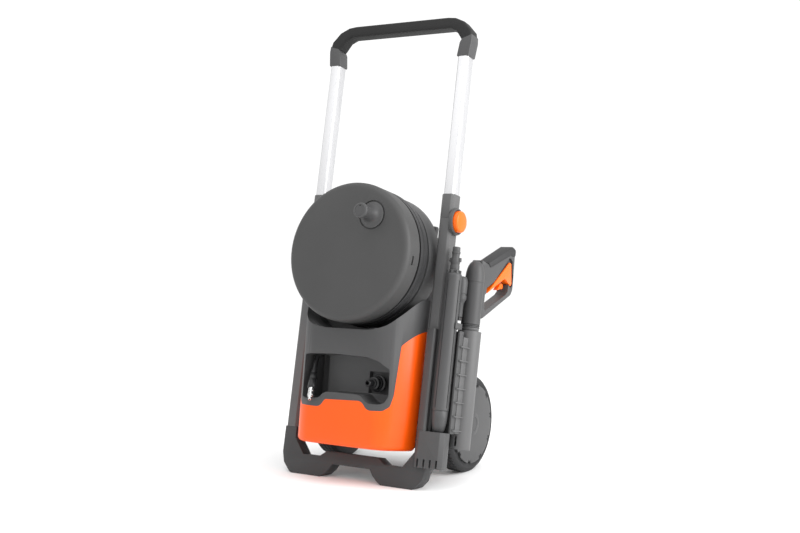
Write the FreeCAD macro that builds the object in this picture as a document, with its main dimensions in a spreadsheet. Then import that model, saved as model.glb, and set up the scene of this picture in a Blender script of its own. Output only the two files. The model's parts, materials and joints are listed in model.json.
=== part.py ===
import FreeCAD, Part
import math
import os

# Electric pressure washer on a two-wheeled trolley, in millimetres, +Z up, front towards -Y.
# Three frames are used: the level frame of the floor, feet and wheels; the lean frame of the
# posts, handle, reel, lance and gun; and the cover frame of the front covers, which lean less.

doc = FreeCAD.newDocument("PressureWasher")
sheet = doc.addObject("Spreadsheet::Sheet", "Sizes")

DRIVING = {
    # frame
    "origin_shift_x": -18.8,
    "origin_shift_y": -124.7,
    "lean_angle": 12.0,
    "lean_foot_y": 4.2,
    "cover_angle": 8.0,
    "cover_foot_y": 4.0,
    # posts, sleeves and handle
    "post_pitch_half": 158.4,
    "post_width": 28.0,
    "post_depth": 34.0,
    "post_wall": 1.5,
    "post_bottom": 92.0,
    "sleeve_bottom": 541.0,
    "sleeve_top": 590.0,
    "tube_width": 24.0,
    "tube_depth": 30.0,
    "tube_wall": 1.6,
    "tube_bottom": 400.0,
    "tube_top": 881.0,
    "grip_depth": 31.0,
    "lock_height": 535.0,
    "lock_ring_radius": 27.5,
    "lock_button_radius": 22.0,
    "lock_button_length": 13.5,
    # wheels and axle
    "wheel_radius": 100.0,
    "wheel_width": 45.0,
    "wheel_inner_x": 129.0,
    "axle_y": 193.0,
    "axle_radius": 8.0,
    "axle_length": 328.0,
    "deck_bottom": 74.0,
    "deck_thickness": 12.0,
    # covers
    "cover_front": 73.0,
    "cover_flat_half": 97.0,
    "cover_half": 138.0,
    "cover_bottom": 70.0,
    "cover_top": 372.0,
    "cover_wall": 3.0,
    "tray_depth": 48.0,
    "pocket_depth": 76.0,
    "rear_half": 118.0,
    # reel
    "reel_height": 451.2,
    "reel_radius": 142.0,
    "reel_front": 121.0,
    "reel_split": 70.0,
    "reel_back": 38.0,
    "reel_wall": 3.0,
        "bracket_radius": 139.0,
    "spindle_radius": 10.0,
    "crank_x": 51.0,
    "crank_up": 73.0,
    "crank_radius": 27.0,
    "crank_length": 48.0,
    # lance, gun and holders
    "lance_x": 190.5,
    "lance_out": 14.0,
    "lance_radius": 16.5,
    "lance_bottom": 113.5,
    "lance_top": 427.0,
    "gun_x": 204.5,
    "gun_out": -50.0,
    "gun_loop_shift": -6.0,
    "gun_radius": 17.0,
    "gun_bottom": 100.0,
    "holster_radius": 24.0,
    "holster_top": 320.0,
    "nozzle_x": 192.0,
    "nozzle_out": -18.0,
    # hose
    "hose_radius": 5.0,
    # machinery
    "motor_y": 108.0,
    "motor_radius": 48.0,
    "motor_bottom": 180.0,
    "motor_length": 105.0,
    "inlet_x": 58.0,
    "inlet_height": 199.0,
    "inlet_radius": 7.0,
    "screw_radius": 3.5,
}
for row, (alias, number) in enumerate(DRIVING.items(), start=1):
    sheet.set("A%d" % row, alias)
    sheet.set("B%d" % row, str(number))
    sheet.setAlias("B%d" % row, alias)
doc.recompute()

X_AXIS = FreeCAD.Vector(1, 0, 0)
Y_AXIS = FreeCAD.Vector(0, 1, 0)
Z_AXIS = FreeCAD.Vector(0, 0, 1)
SIDES = {"left": -1, "right": 1}
nodes = []


def size(alias):
    """A driving dimension, read back from the sheet."""
    return float(sheet.get(alias))


def cell(text):
    """An expression in which each word is an alias of the sheet."""
    words = text.split(" ")
    return " ".join("Sizes." + word if word in DRIVING else word for word in words)


LEVEL = FreeCAD.Placement(
    FreeCAD.Vector(size("origin_shift_x"), size("origin_shift_y"), 0), FreeCAD.Rotation())
LEAN = LEVEL.multiply(FreeCAD.Placement(
    FreeCAD.Vector(0, size("lean_foot_y"), 0), FreeCAD.Rotation(X_AXIS, -size("lean_angle"))))
COVER = LEVEL.multiply(FreeCAD.Placement(
    FreeCAD.Vector(0, size("cover_foot_y"), 0), FreeCAD.Rotation(X_AXIS, -size("cover_angle"))))

UPRIGHT = FreeCAD.Rotation()
FORWARD = FreeCAD.Rotation(X_AXIS, 90)
BACKWARD = FreeCAD.Rotation(X_AXIS, -90)
SIDEWAYS = {-1: FreeCAD.Rotation(Y_AXIS, -90), 1: FreeCAD.Rotation(Y_AXIS, 90)}


def keep(thing, label, frame, position=(0, 0, 0), turn=UPRIGHT):
    """Label a finished sub-part, put it in its frame and list it as a node."""
    thing.Label = label
    thing.Placement = frame.multiply(FreeCAD.Placement(FreeCAD.Vector(*position), turn))
    nodes.append(thing)
    return thing


def shifted(thing, position, turn=UPRIGHT):
    """Move a building block within its sub-part."""
    thing.Placement = FreeCAD.Placement(FreeCAD.Vector(*position), turn)
    return thing


def box(name, low, extent):
    """A Part box from its low corner; an extent is a number or an expression of aliases."""
    solid = doc.addObject("Part::Box", name)
    for prop, length in zip(("Length", "Width", "Height"), extent):
        if isinstance(length, str):
            solid.setExpression(prop, cell(length))
        else:
            setattr(solid, prop, length)
    return shifted(solid, low)


def rod(name, radius, length, base=(0, 0, 0), turn=UPRIGHT):
    """A Part cylinder along its own Z, placed from the centre of its base."""
    solid = doc.addObject("Part::Cylinder", name)
    for prop, amount in (("Radius", radius), ("Height", length)):
        if isinstance(amount, str):
            solid.setExpression(prop, cell(amount))
        else:
            setattr(solid, prop, amount)
    return shifted(solid, base, turn)


def cut(name, base, tool):
    result = doc.addObject("Part::Cut", name)
    result.Base = base
    result.Tool = tool
    return result


def common(name, base, tool):
    result = doc.addObject("Part::Common", name)
    result.Base = base
    result.Tool = tool
    return result


def fuse(name, solids):
    result = doc.addObject("Part::MultiFuse", name)
    result.Shapes = solids
    return result


def sketch_on(body, role, start=0.0):
    """A sketch on one of the body's own origin planes, moved along its normal by start."""
    sketch = body.newObject("Sketcher::SketchObject", body.Name + "_sketch")
    plane = [f for f in body.Origin.OriginFeatures if f.Role == role][0]
    sketch.AttachmentSupport = [(plane, "")]
    sketch.MapMode = "FlatFace"
    if isinstance(start, str):
        sketch.setExpression(".AttachmentOffset.Base.z", cell(start))
    else:
        sketch.AttachmentOffset = FreeCAD.Placement(FreeCAD.Vector(0, 0, start), UPRIGHT)
    return sketch


def closed_line(sketch, points):
    """Draw a closed outline of straight lines."""
    corners = [FreeCAD.Vector(x, y, 0) for x, y in points]
    for first, second in zip(corners, corners[1:] + corners[:1]):
        sketch.addGeometry(Part.LineSegment(first, second), False)


def prism(name, role, outlines, length, start=0.0):
    """A PartDesign body: outlines on an origin plane, padded along the plane's normal."""
    body = doc.addObject("PartDesign::Body", name)
    sketch = sketch_on(body, role, start)
    for points in outlines:
        closed_line(sketch, points)
    pad = body.newObject("PartDesign::Pad", name + "_pad")
    pad.Profile = sketch
    if isinstance(length, str):
        pad.setExpression("Length", cell(length))
    else:
        pad.Length = length
    return body


def turned(name, profile):
    """A PartDesign body: a half section of (radius, height) points turned about Z."""
    body = doc.addObject("PartDesign::Body", name)
    sketch = sketch_on(body, "XZ_Plane")
    closed_line(sketch, profile)
    revolution = body.newObject("PartDesign::Revolution", name + "_revolution")
    revolution.Profile = sketch
    revolution.ReferenceAxis = (sketch, ["V_Axis"])
    revolution.Angle = 360.0
    return body


def chamfered(width, depth, corner, centre=(0.0, 0.0)):
    """The outline of a rectangle with its four corners cut off."""
    half_w, half_d = width / 2, depth / 2
    corners = [(half_w - corner, -half_d), (half_w, -half_d + corner)]
    corners += [(x, -y) for x, y in reversed(corners)]
    corners += [(-x, y) for x, y in reversed(corners)]
    return [(x + centre[0], y + centre[1]) for x, y in corners]


def mirrored(points):
    """An outline of the right half, closed by its mirror image about x = 0."""
    return points + [(-x, y) for x, y in reversed(points)]


def pipe_shape(points, radius, bend=None):
    """A round tube along straight runs that tangent arcs join; returns shape and radii."""
    corners = [FreeCAD.Vector(*point) for point in points]
    edges, radii = [], []
    start = corners[0]
    for before, corner, after in zip(corners, corners[1:], corners[2:]):
        inward = (before - corner).normalize()
        onward = (after - corner).normalize()
        half_turn = (math.pi - inward.getAngle(onward)) / 2
        setback = 0.45 * min((before - corner).Length, (after - corner).Length)
        if bend is not None:
            setback = bend * math.tan(half_turn)
        radii.append(setback / math.tan(half_turn))
        arc_start = corner + inward * setback
        arc_end = corner + onward * setback
        middle = (inward + onward).normalize()
        reach = radii[-1] / math.cos(half_turn) - radii[-1]
        edges.append(Part.LineSegment(start, arc_start).toShape())
        edges.append(Part.Arc(arc_start, corner + middle * reach, arc_end).toShape())
        start = arc_end
    edges.append(Part.LineSegment(start, corners[-1]).toShape())
    path = Part.Wire(edges)
    direction = corners[1] - corners[0]
    section = Part.Wire(Part.makeCircle(radius, corners[0], direction))
    shape = path.makePipeShell([section], True, False)
    expected = math.pi * radius ** 2 * path.Length
    assert abs(shape.Volume / expected - 1) < 0.02, "the tube's volume is not section x length"
    return shape, radii, path.Length


# ---------------------------------------------------------------- foot frame and chassis deck

def make_foot_frame():
    """One moulding: two feet joined by a low arch, with a short leg up to each post."""
    inner = size("post_pitch_half") - size("post_width") / 2
    outer = size("post_pitch_half") + size("post_width") / 2
    top = size("post_bottom")
    outline = mirrored([(45, 25), (53, 13), (64, 3), (80, -8), (138, -8), (152, 0), (167, 17),
                        (outer, 38), (outer, top), (inner, top), (inner, 70), (120, 38),
                        (79, 38), (62, 50)])
    legs = prism("foot_legs", "XZ_Plane", [outline], 30.0, -13.0)
    floor = box("below_floor", (-250, -100, -60), (500, 300, 60))
    tilt_back = FreeCAD.Rotation(X_AXIS, size("lean_angle"))
    drop = tilt_back.multVec(FreeCAD.Vector(0, -size("lean_foot_y"), 0))
    floor.Placement = FreeCAD.Placement(drop, tilt_back).multiply(
        FreeCAD.Placement(FreeCAD.Vector(-250, -100, -60), UPRIGHT))
    keep(cut("foot_frame", legs, floor), "foot_frame", LEAN)


def make_deck():
    """The chassis plate between the legs and the axle, with a lug at each side for the axle."""
    low = size("deck_bottom")
    inner = size("post_pitch_half") - size("post_width") / 2
    plate = box("deck_plate", (-112, 16, low), (224, 184, "deck_thickness"))
    wing = box("deck_wing", (-inner, 25.5, low), (2 * inner, 12, "deck_thickness"))
    mount = box("deck_motor_mount", (-62, size("motor_y") - 48, low + size("deck_thickness")),
                (124, 96, 8))
    solids = [plate, wing, mount]
    for side, sign in SIDES.items():
        corner = sign * 106 - 6
        solids.append(box(side + "_lug", (corner, 170, low), (12, 34, 42)))
    bore = rod("axle_bore", "axle_radius + 0.05", 240,
               (-120, size("axle_y"), size("wheel_radius")), SIDEWAYS[1])
    keep(cut("base_deck", fuse("deck_body", solids), bore), "base_deck", LEVEL)


def make_axle():
    half = size("axle_length") / 2
    keep(rod("axle", "axle_radius", "axle_length"), "axle", LEVEL,
         (-half, size("axle_y"), size("wheel_radius")), SIDEWAYS[1])


# ---------------------------------------------------------------- posts, sleeves and handle

def make_post(side, sign):
    """A hollow rectangular post and the sleeve on its top that guides the handle tube."""
    wall = size("post_wall")
    width, depth = size("post_width"), size("post_depth")
    hollow = chamfered(width - 2 * wall, depth - 2 * wall, 3.0)
    place = (sign * size("post_pitch_half"), 0, size("post_bottom"))
    post = prism(side + "_post", "XY_Plane", [chamfered(width, depth, 5.0), hollow],
                 "sleeve_bottom - post_bottom")
    keep(post, side + "_post", LEAN, place)
    sleeve = prism(side + "_post_sleeve", "XY_Plane",
                   [chamfered(width + 1.0, depth + 1.0, 6.0), hollow],
                   "sleeve_top - sleeve_bottom")
    keep(sleeve, side + "_post_sleeve", LEAN,
         (sign * size("post_pitch_half"), 0, size("sleeve_bottom")))


def make_lock(side, sign):
    """A ring on the outer side of the post and the push button that slides in it."""
    face = size("post_pitch_half") + size("post_width") / 2 + 0.5
    radius = size("lock_ring_radius")
    ring = turned(side + "_lock_ring", [(radius - 4.5, 0), (radius, 0), (radius, 5.5),
                                        (radius - 1.5, 7.5), (radius - 4.5, 7.5)])
    keep(ring, side + "_lock_ring", LEAN, (sign * face, 0, size("lock_height")), SIDEWAYS[sign])
    radius = size("lock_button_radius")
    length = size("lock_button_length")
    button = turned(side + "_lock_button", [(0, 0), (radius, 0), (radius, length - 3.5),
                                            (radius - 4, length - 0.6), (0, length)])
    keep(button, side + "_lock_button", LEAN,
         (sign * (face + 4.5), 0, size("lock_height")), SIDEWAYS[sign])


def make_handle():
    """Two aluminium tubes, a faceted leg on each, and the bar that the hand holds."""
    wall = size("tube_wall")
    width, depth = size("tube_width"), size("tube_depth")
    pitch = size("post_pitch_half")
    top = size("tube_top")
    grip_depth = size("grip_depth")
    for side, sign in SIDES.items():
        tube = prism(side + "_handle_tube", "XY_Plane",
                     [chamfered(width, depth, 4.0),
                      chamfered(width - 2 * wall, depth - 2 * wall, 3.0)],
                     "tube_top - tube_bottom")
        keep(tube, side + "_handle_tube", LEAN, (sign * pitch, 0, size("tube_bottom")))
        leg_outline = [(sign * x, up) for x, up in
                       [(pitch - 14, top), (pitch + 14, top), (pitch + 18, top + 32),
                        (pitch + 17, top + 46), (pitch - 5, top + 39), (pitch - 10, top + 30)]]
        leg = prism(side + "_grip_leg", "XZ_Plane", [leg_outline], "grip_depth",
                    -grip_depth / 2)
        keep(leg, side + "_grip_leg", LEAN)
    bow = mirrored([(122, 946), (137, 938), (pitch - 5, top + 39.2),
                    (pitch + 17, top + 46.2), (pitch + 14, top + 58), (pitch - 3, top + 79),
                    (pitch - 26, top + 89), (pitch - 42, top + 91)])
    keep(prism("grip_bar", "XZ_Plane", [bow], "grip_depth", -grip_depth / 2), "grip_bar", LEAN)


# ---------------------------------------------------------------- wheels

def make_wheel(side, sign):
    """A tyre on a rim, with a cap whose crown edge shows on the outer side."""
    radius, width = size("wheel_radius"), size("wheel_width")
    inner_x = size("wheel_inner_x")
    place = (sign * inner_x, size("axle_y"), radius)
    bead = radius - 24
    tyre = turned(side + "_tyre", [(bead, 4), (radius - 8, 0), (radius, 7), (radius, width - 9),
                                   (radius - 6, width - 2), (bead, width - 4)])
    keep(tyre, side + "_tyre", LEVEL, place, SIDEWAYS[sign])
    bore = size("axle_radius") + 0.05
    rim = turned(side + "_rim", [(bore, 0), (18, 0), (18, 16), (bead - 4, 16), (bead - 4, 4),
                                 (bead, 4), (bead, width - 4), (bead - 4, width - 4),
                                 (bead - 4, 22), (18, 22), (18, width - 10), (bore, width - 10)])
    keep(rim, side + "_rim", LEVEL, place, SIDEWAYS[sign])
    outline = []
    for index in range(16):
        angle = math.radians(22.5 * index)
        reach = bead - 5 if index % 2 else bead - 14
        outline.append((reach * math.cos(angle), reach * math.sin(angle)))
    cap = prism(side + "_hub_cap", "XY_Plane", [outline], 6.0)
    shift = (sign * (inner_x + width - 8), size("axle_y"), radius)
    keep(cap, side + "_hub_cap", LEVEL, shift, SIDEWAYS[sign])


# ---------------------------------------------------------------- covers

GREY_REGION = [(-170, 420), (-170, 312), (-139, 310), (-116, 277), (-110, 178), (-106, 154),
               (-97, 145), (-54, 144), (-46, 147), (-36, 160), (45, 163), (53, 160), (62, 149),
               (70, 146), (96, 147), (107, 156), (111, 178), (116, 277), (139, 310),
               (170, 312), (170, 420)]
CRADLE = [(55, 297.8), (84, 304), (100, 314), (113, 331), (129, 357.5),
          (138, 376), (160, 412), (160, 560)]
APRON = [(55, 295.5), (84, 301.5), (99, 311), (112, 328), (118, 336), (110, 354), (84, 332),
         (60, 320), (40, 312.5), (20, 309)]
TRAY_MOUTH = [(-97, 236), (-94, 244), (-86, 249), (-20, 252), (58, 250), (82, 244), (103, 229),
              (104, 176), (98, 163), (88, 159), (66, 159), (58, 163), (48, 172), (40, 175),
              (-34, 175), (-44, 170), (-51, 162), (-88, 158), (-95, 166)]


def cover_outline(inset):
    """The covers' plan, at the outer skin or inset from it; it stays open at the back."""
    front = -size("cover_front") + inset
    flat, half = size("cover_flat_half"), size("cover_half")
    return mirrored([(flat - 0.55 * inset, front), (half - inset, -6),
                     (half - inset, 40 + inset)])


def cradle_outline(grow):
    """The hollow for the reel, in the lean frame, moved outward by grow."""
    centre = size("reel_height")
    outline = []
    for across, up in mirrored(CRADLE):
        reach = math.hypot(across, up - centre)
        scale = (reach + grow) / reach
        outline.append((across * scale, centre + (up - centre) * scale))
    return outline


def cover_block(name, inset):
    """The front covers as one block, hollowed round the reel's cradle."""
    bottom = size("cover_bottom") + inset
    height = size("cover_top") - bottom + (20 if inset else 0)
    block = prism(name + "_block", "XY_Plane", [cover_outline(inset)], height, bottom)
    cradle = prism(name + "_cradle", "XZ_Plane", [cradle_outline(inset)], 240, -90)
    cradle.Placement = COVER.inverse().multiply(LEAN)
    return cut(name + "_cradled", block, cradle)


def cover_skin(name):
    """The covers' wall, which ends behind at a plane that leans with the posts."""
    hollow = cut(name + "_hollow", cover_block(name + "_outer", 0),
                 cover_block(name + "_inner", size("cover_wall")))
    behind = box(name + "_behind", (-200, -3, -50), (400, 150, 550))
    behind.Placement = COVER.inverse().multiply(LEAN).multiply(behind.Placement)
    return cut(name, hollow, behind)


def make_front_shell():
    """The painted lower shell: bottom, lower front and both flanks."""
    grey = prism("seam_region", "XZ_Plane", [GREY_REGION], 160.0, -60.0)
    keep(cut("front_shell", cover_skin("shell_skin"), grey), "front_shell", COVER)


def make_front_cover():
    """The grey upper cover, with the storage tray let into its face."""
    grey = prism("cover_region", "XZ_Plane", [GREY_REGION], 160.0, -60.0)
    skin = common("cover_skin_cut", cover_skin("cover_skin"), grey)
    front = size("cover_front")
    depth = size("tray_depth")
    tub = box("tray_tub", (-100, -front + 1, 148), (207, depth + 2, 107))
    pocket_depth = size("pocket_depth")
    back = box("pocket_back", (-100, -front + 1, 157), (40, pocket_depth + 2, 96))
    tub_region = prism("tub_region", "XZ_Plane", [GREY_REGION], 160.0, -60.0)
    tub = common("tray_tub_cut", fuse("tray_tubs", [tub, back]), tub_region)
    apron = prism("cradle_apron", "XZ_Plane", [mirrored(APRON)], 3.0, 3.0)
    apron.Placement = COVER.inverse().multiply(LEAN)
    body = fuse("front_cover_body", [skin, tub, apron])
    mouth = prism("tray_mouth", "XZ_Plane", [TRAY_MOUTH], "tray_depth + 5", front - depth)
    port = rod("inlet_port", 14.0, 20, (size("inlet_x"), -front + depth + 10,
                                        size("inlet_height")), FORWARD)
    hose_port = rod("hose_port", 5.3, 20, (-86, -38, 240))
    pocket = box("hose_pocket", (-97, -front + 2, 160), (34, pocket_depth, 88))
    tools = fuse("cover_tools", [mouth, port, hose_port, pocket])
    keep(cut("front_cover", body, tools), "front_cover", COVER)


def make_rear_cover():
    """The back casing over motor and pump, open towards the front covers."""
    outer = [(18, 87), (48, 300), (86.5, 302), (124.5, 481), (150, 481), (168, 425), (168, 87)]
    inner = [(0, 60), (0, 302.5), (80, 305), (112, 478), (148, 478), (165, 424.5), (165, 60)]
    half = size("rear_half")
    skin = cut("rear_skin",
               prism("rear_outer", "YZ_Plane", [outer], 2 * half, -half),
               prism("rear_inner", "YZ_Plane", [inner], 2 * half - 6, 3 - half))
    slots = [box("vent_slot_%d" % index, (-70, 160, 300 + 16 * index), (140, 20, 7))
             for index in range(6)]
    openings = fuse("rear_openings", slots + [
        rod("gland_hole", 9.2, 20, (-70, 155, 130), BACKWARD),
        rod("switch_hole", 8.5, 20, (0, 155, 245), BACKWARD)])
    keep(cut("rear_cover", skin, openings), "rear_cover", LEVEL)


# ---------------------------------------------------------------- hose reel

def make_reel_bracket():
    """The hollow round back that carries the reel, and the hook for the mains cable."""
    height = size("reel_height")
    plate = rod("bracket_plate", "bracket_radius", 46.0, (0, 16, height), FORWARD)
    hollow = rod("bracket_hollow", "bracket_radius - 4", 39.0, (0, 12, height), FORWARD)
    hub = rod("bracket_hub", 26.0, 46.0, (0, 16, height), FORWARD)
    hook = turned("hook_stub", [(0, 0), (8.5, 0), (10, 24), (8, 27), (0, 27)])
    shifted(hook, (110, 28, 503))
    arm = box("hook_arm", (104, 14, 503), (12, 10, 8))
    body = fuse("bracket_body", [cut("bracket_dish", plate, hollow), hub, hook, arm])
    bore = rod("bracket_bore", "spindle_radius", 60.0, (0, 30, height), FORWARD)
    keep(cut("reel_bracket", body, bore), "reel_bracket", LEAN)


def make_spindle():
    spindle = turned("reel_spindle", [(0, 0), (size("spindle_radius"), 0),
                                      (size("spindle_radius"), 108), (0, 108)])
    keep(spindle, "reel_spindle", LEAN, (0, 16, size("reel_height")), FORWARD)


def make_swivel():
    """The rotary water joint on the back of the bracket."""
    joint = turned("hose_swivel", [(0, 0), (12, 0), (12, 4), (16, 6), (16, 20), (11, 24),
                                   (11, 30), (0, 30)])
    keep(joint, "hose_swivel", LEAN, (0, 16, size("reel_height")), BACKWARD)


def make_reel():
    """Front cap, back drum with its hub, and the wound hose as one ring between them."""
    radius, wall = size("reel_radius"), size("reel_wall")
    split = size("reel_split") - size("reel_back")
    front = size("reel_front") - size("reel_back")
    place = (0, -size("reel_back"), size("reel_height"))
    bore = size("spindle_radius") + 0.05
    drum = turned("reel_drum", [(bore, 0), (radius - 2, 0), (radius, 3), (radius, split - 0.5),
                                (radius - wall, split - 0.5), (radius - wall, wall),
                                (62, wall), (62, split + 8), (bore, split + 8)])
    keep(drum, "reel_drum", LEAN, place, FORWARD)
    hose = turned("wound_hose", [(63, 5), (130, 5), (130, split + 6), (63, split + 6)])
    keep(hose, "wound_hose", LEAN, place, FORWARD)
    cap = turned("cap_turned", [(radius - wall, split + 0.5), (radius, split + 0.5),
                                (radius, front - 6), (radius - 2, front - 2),
                                (radius - 6, front), (0, front), (0, front - wall),
                                (radius - 7, front - wall), (radius - wall, front - 7)])
    recess = rod("crank_recess", "crank_radius + 1", 8,
                 (size("crank_x"), size("crank_up"), front - 1.8))
    pocket = turned("crank_pocket", [(0, 0), (7, 0), (7, 2.0), (0, 2.0)])
    shifted(pocket, (size("crank_x"), size("crank_up"), front - wall))
    boss = turned("cap_boss", [(11, split + 8), (30, split + 8), (30, front - wall + 0.5),
                               (11, front - wall + 0.5)])
    slot = box("cap_slot", (radius - 3, -22, front - 26), (6, 18, 5))
    tools = fuse("cap_tools", [recess, slot])
    keep(cut("reel_cap", fuse("cap_body", [cap, boss]), tools), "reel_cap", LEAN, place, FORWARD)


def make_crank():
    """The knob that turns on the reel's face and winds it."""
    length, base = size("crank_length"), size("crank_radius")
    knob = turned("crank_knob", [(0, 0), (base, 0), (base, 2.4), (base - 6, 4), (16, 9),
                                 (13, 18), (12.5, 26), (14, 36), (15.5, length - 4),
                                 (14, length - 1), (11, length), (0, length)])
    height = size("reel_height") + size("crank_up")
    keep(knob, "crank_knob", LEAN, (size("crank_x"), -(size("reel_front") - 1.5), height),
         FORWARD)


# ---------------------------------------------------------------- lance and its holder

def make_lance_holder():
    """An open channel beside the right post, over a closed foot box in front of the post."""
    post_front = size("post_depth") / 2 + 0.3
    post_side = size("post_pitch_half") + size("post_width") / 2 + 0.6
    low = 42.0
    foot = prism("holder_foot", "XY_Plane",
                 [[(152, -post_front), (post_side, -post_front), (post_side, 8.5), (204, 8.5),
                   (210, 0), (213, -8), (213, -26), (206, -34), (160, -34), (152, -28)]],
                 113.0 - low, low)
    channel = [[(152, -post_front), (170, -post_front), (170, -27), (167, -31), (152, -29)],
               [(post_side, 4), (210, 4), (210, -8), (214, -8), (214, 8), (post_side, 8)]]
    rails = [prism("holder_rail_%d" % index, "XY_Plane", [outline], 202.0, 112.5)
             for index, outline in enumerate(channel)]
    slots = [box("drain_slot_%d" % index, (160 + 14 * index, -40, low - 5), (4, 24, 22))
             for index in range(4)]
    body = cut("holder_slotted", fuse("holder_body", [foot] + rails), fuse("drain_slots", slots))
    keep(body, "lance_holder", LEAN)


def make_tool_clip():
    """Two fingers that hold the lance in its channel, and the peg of the spare nozzle."""
    side = size("post_pitch_half") + size("post_width") / 2
    centre = size("lance_x")
    gap = size("lance_radius") + 0.4
    across, back = size("nozzle_x"), -size("nozzle_out")
    solids = [box("clip_strip", (side, -14, 318), (1.0, 38, 26)),
              box("clip_finger", (centre + gap, -20, 318), (2.2, 27, 12)),
              box("clip_web", (side, 3.8, 318), (centre + gap + 2.2 - side, 3.2, 12)),
              box("peg_arm", (side, back - 6, 338), (across - side + 6, 12, 6)),
              rod("peg_pin", 4.0, 24, (across, back, 340))]
    keep(fuse("tool_clip", solids), "tool_clip", LEAN)


def make_lance():
    """Lance body with a nozzle end below, and the neck, ring and spigot above."""
    radius, length = size("lance_radius"), size("lance_top") - size("lance_bottom")
    place = (size("lance_x"), -size("lance_out"), size("lance_bottom"))
    tube = turned("lance_tube", [(0, 42), (radius, 42), (radius, length - 3),
                                 (radius - 2, length), (0, length)])
    keep(tube, "lance_tube", LEAN, place)
    nozzle = turned("lance_nozzle", [(0, 0), (10, 0), (13, 4), (radius - 0.5, 26),
                                     (radius - 0.5, 41.8), (0, 41.8)])
    keep(nozzle, "lance_nozzle", LEAN, place)
    neck = turned("neck_turned", [(0, 0), (12, 0), (12, 5), (9.5, 6), (9.5, 30), (7.5, 33),
                                  (7.5, 54), (0, 54)])
    lug = box("bayonet_lug", (-12.5, -3, 24), (25, 6, 8))
    keep(fuse("lance_spigot", [neck, lug]), "lance_spigot", LEAN,
         (place[0], place[1], size("lance_top")))


def make_spray_nozzle():
    """The spare nozzle on its peg."""
    across, back = size("nozzle_x"), -size("nozzle_out")
    nozzle = turned("spray_nozzle", [(4.1, 0), (8, 0), (8.5, 6), (8.5, 28), (13, 36), (13, 74),
                                     (10, 82), (0, 82), (0, 30), (4.1, 30)])
    keep(nozzle, "spray_nozzle", LEAN, (across, back, 344.4))


# ---------------------------------------------------------------- gun and its holster

def make_holster():
    """A slotted tube for the gun's barrel, tied to the lance channel by a web."""
    outer, top = size("holster_radius"), size("holster_top")
    bore = size("gun_radius") + 0.6
    bottom = 84.0
    centre = (size("gun_x"), -size("gun_out"), 0)
    tube = turned("holster_tube", [(0, bottom), (outer, bottom), (outer, top), (bore, top),
                                   (bore, bottom + 4), (0, bottom + 4)])
    shifted(tube, centre)
    web = box("holster_web", (208, 8.2, 114), (6.8, 26, 190))
    ribs = [box("holster_rib_%d" % index, (214.3, -5, 118 + 27.5 * index), (4.2, 38, 2.4))
            for index in range(7)]
    clearance = rod("holster_clearance", "gun_radius + 0.6", 250, (centre[0], centre[1],
                                                                  bottom + 4))
    body = cut("holster_bored", fuse("holster_body", [tube, web] + ribs), clearance)
    slots = [box("holster_slot_%d" % index, (centre[0] - 12 + 14 * index, 20, bottom + 6),
                 (5, 25, 20)) for index in range(2)]
    keep(cut("gun_holster", body, fuse("holster_slots", slots)), "gun_holster", LEAN)


GRIP_OUTER = [(70, 352), (85.2, 348), (213.1, 420), (217, 430), (213.1, 505), (206.4, 513),
              (189, 517), (84, 464), (60, 468), (56, 400)]
FINGER_GAP = [(90, 386), (98.7, 376), (165, 413), (169.8, 420), (168.9, 444), (164.1, 446),
              (94.8, 406), (90, 401)]
TRIGGER_SIDE = [(92.9, 404), (167.9, 446), (198.7, 435), (202.6, 440), (192.9, 482),
                (185.2, 484)]
TRIGGER_SWEEP = [(89, 402), (83.3, 397), (167.9, 445.5), (171.8, 443), (200.6, 431),
                 (207.4, 438), (206.4, 452), (197.7, 488), (189.1, 493), (180.4, 492)]
TRIGGER_UNDER = [(88.1, 400), (167.9, 445.5), (171.8, 443), (200.6, 431), (207.4, 438),
                 (208.3, 461), (171.8, 461), (88.1, 414)]
CATCH_PIVOT = (171.8, 430)


def make_gun():
    """Barrel, collar, body with its closed hand loop, and the soft pad on the grip."""
    radius = size("gun_radius")
    place = (size("gun_x"), -size("gun_out"), 0)
    low, collar = size("gun_bottom"), 327.0
    barrel = turned("gun_barrel", [(0, low), (radius - 3, low), (radius - 0.4, low + 6),
                                   (radius - 0.4, collar), (0, collar)])
    keep(barrel, "gun_barrel", LEAN, place)
    ring = turned("gun_collar", [(0, collar + 0.2), (radius + 1, collar + 0.2),
                                 (radius + 1, collar + 6), (0, collar + 6)])
    keep(ring, "gun_collar", LEAN, place)
    dome = turned("gun_dome", [(0, collar + 6.2), (radius, collar + 6.2), (radius, 425),
                               (radius - 1.5, 442), (radius - 6, 456), (radius - 12, 463),
                               (0, 465)])
    shifted(dome, (0, place[1] - size("gun_loop_shift"), 0))
    loop = prism("gun_loop", "YZ_Plane", [GRIP_OUTER, FINGER_GAP], 27.0, -13.5)
    cheeks = [prism("trigger_cheek_%d" % index, "YZ_Plane", [TRIGGER_SWEEP], 6.0, start)
              for index, start in enumerate((-14.0, 8.0))]
    under = prism("trigger_under", "YZ_Plane", [TRIGGER_UNDER], 28.0, -14.0)
    catch_room = rod("catch_room", 7.0, 11.0, (-5.5,) + CATCH_PIVOT, SIDEWAYS[1])
    body = cut("gun_hollowed", fuse("gun_solid", [dome, loop]),
               fuse("trigger_room", cheeks + [under, catch_room]))
    pad_top = [(92, 462), (102, 455), (186, 497), (204, 497), (202, 509.5), (188, 513)]
    pad_room = prism("pad_room", "YZ_Plane", [pad_top], 40.0, -20.0)
    loop_place = (place[0], size("gun_loop_shift"), 0)
    keep(cut("gun_body", body, pad_room), "gun_body", LEAN, loop_place)
    pad = prism("gun_grip_pad", "YZ_Plane", [pad_top], 28.0, -14.0)
    keep(pad, "gun_grip_pad", LEAN, loop_place)


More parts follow.
